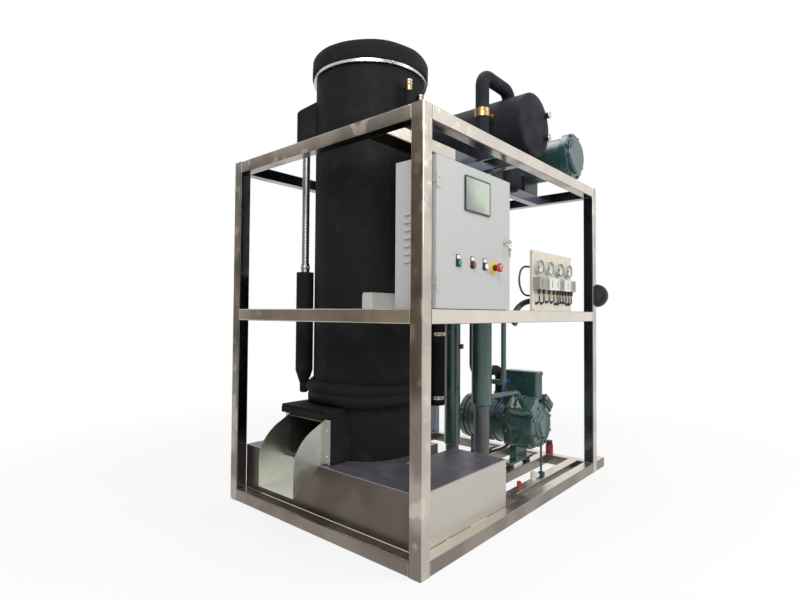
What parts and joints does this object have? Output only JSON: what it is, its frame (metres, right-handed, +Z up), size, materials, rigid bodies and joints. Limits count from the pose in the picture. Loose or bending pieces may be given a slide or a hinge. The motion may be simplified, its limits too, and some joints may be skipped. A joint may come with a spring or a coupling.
{
  "type": "tube ice machine",
  "caption": "Industrial tube ice machine: open stainless frame with insulated freezing tower, cutter, chute, water tank, cabinet, gauges, vessels and compressor.",
  "frame": {"origin": "middle of the frame's footprint on the floor, under the base grid", "axes": "+Z up, -Y towards the control cabinet side, -X towards the ice chute"},
  "size_m": [2.022, 1.3645, 2.363],
  "materials": {
    "stainless": "brushed, with scuffs",
    "foam": "matt closed-cell foam with soft unevenness",
    "green_paint": "gloss, with dust",
    "dark_green_paint": "satin",
    "cabinet_paint": "light grey powder coat",
    "cream_paint": "cream powder coat",
    "black_plastic": "satin",
    "white_plastic": "gloss",
    "green_plastic": "gloss",
    "red_plastic": "gloss",
    "brass": "machined, slightly tarnished",
    "rubber": "matt",
    "grey_paint": "satin",
    "grey_plastic": "satin",
    "float_plastic": "orange, satin"
  },
  "bodies": {
    "machine": {"accumulator": "foam", "base_fittings": "red_plastic", "base_frame": "stainless", "brass_valves": "brass", "cabinet_body": "cabinet_paint", "capped_connection": "rubber", "chute_screws": "stainless", "clamp_band": "stainless", "column_foam": "foam", "compressor_body": "green_paint", "compressor_cables": "rubber", "compressor_mounts": "rubber", "condenser": "dark_green_paint", "control_fittings": "brass", "corner_posts": "stainless", "cutter_chamber": "stainless", "cutter_motor": "grey_paint", "cylinder_heads": "green_paint", "discharge_lines": "green_paint", "float_valve": "brass", "gauge_cases": "black_plastic", "gauge_panel": "cream_paint", "ice_chute": "stainless", "junction_box": "white_plastic", "level_column": "stainless", "middle_rails": "stainless", "oil_separator": "green_paint", "outlet_foam": "foam", "pressure_controls": "grey_plastic", "pump_pipes": "stainless", "receiver": "green_paint", "suction_line": "foam", "suction_riser": "foam", "switchgear": "grey_plastic", "tank_lid": "stainless", "terminal_box": "green_paint", "top_frame": "stainless", "tower_cap": "foam", "tower_foam": "foam", "tower_shell": "stainless", "tower_stand": "stainless", "tube_bundle": "stainless", "vessel_feet": "grey_paint", "vessel_saddles": "stainless", "water_pump": "grey_paint", "water_tank": "stainless"},
    "door": {"cabinet_door": "cabinet_paint", "touch_screen": "black_plastic", "button_bezels": "black_plastic"},
    "start_key": {"start_button": "green_plastic"},
    "stop_key": {"stop_button": "red_plastic"},
    "reset_key": {"reset_button": "white_plastic"},
    "mushroom": {"stop_head": "red_plastic"},
    "lock": {"door_lock": "stainless"},
    "cutter": {"cutter_disc": "stainless"},
    "float": {"float_arm": "float_plastic"},
    "needle_1": {"gauge_needle_1": "black_plastic"},
    "needle_2": {"gauge_needle_2": "black_plastic"},
    "needle_3": {"gauge_needle_3": "black_plastic"},
    "needle_4": {"gauge_needle_4": "black_plastic"}
  },
  "joints": [
    {"name": "door_hinge", "type": "hinge", "parent": "machine", "child": "door", "pos_m": [-0.816, -0.655, 1.312], "axis": [0, 0, -1], "range_deg": [0, 110]},
    {"name": "start_press", "type": "slide", "parent": "door", "child": "start_key", "axis": [0, 1, 0], "range_m": [0, 0.004], "stiffness_N_per_m": 600},
    {"name": "stop_press", "type": "slide", "parent": "door", "child": "stop_key", "axis": [0, 1, 0], "range_m": [0, 0.004], "stiffness_N_per_m": 600},
    {"name": "reset_press", "type": "slide", "parent": "door", "child": "reset_key", "axis": [0, 1, 0], "range_m": [0, 0.004], "stiffness_N_per_m": 600},
    {"name": "emergency_press", "type": "slide", "parent": "door", "child": "mushroom", "axis": [0, 1, 0], "range_m": [0, 0.006]},
    {"name": "lock_turn", "type": "hinge", "parent": "door", "child": "lock", "pos_m": [-0.278, -0.65, 1.325], "axis": [0, -1, 0], "range_deg": [0, 90]},
    {"name": "cutter_spin", "type": "hinge", "parent": "machine", "child": "cutter", "pos_m": [-0.442, 0.075, 0.5], "axis": [0, 0, 1], "continuous": true},
    {"name": "float_swing", "type": "hinge", "parent": "machine", "child": "float", "pos_m": [-0.212, -0.35, 0.19], "axis": [0, 1, 0], "range_deg": [-25, 15]},
    {"name": "pointer_1", "type": "hinge", "parent": "machine", "child": "needle_1", "pos_m": [0.093, -0.645, 1.24], "axis": [0, 1, 0], "range_deg": [0, 270]},
    {"name": "pointer_2", "type": "hinge", "parent": "machine", "child": "needle_2", "pos_m": [0.215, -0.645, 1.24], "axis": [0, 1, 0], "range_deg": [0, 270]},
    {"name": "pointer_3", "type": "hinge", "parent": "machine", "child": "needle_3", "pos_m": [0.345, -0.645, 1.24], "axis": [0, 1, 0], "range_deg": [0, 270]},
    {"name": "pointer_4", "type": "hinge", "parent": "machine", "child": "needle_4", "pos_m": [0.467, -0.645, 1.24], "axis": [0, 1, 0], "range_deg": [0, 270]}
  ]
}
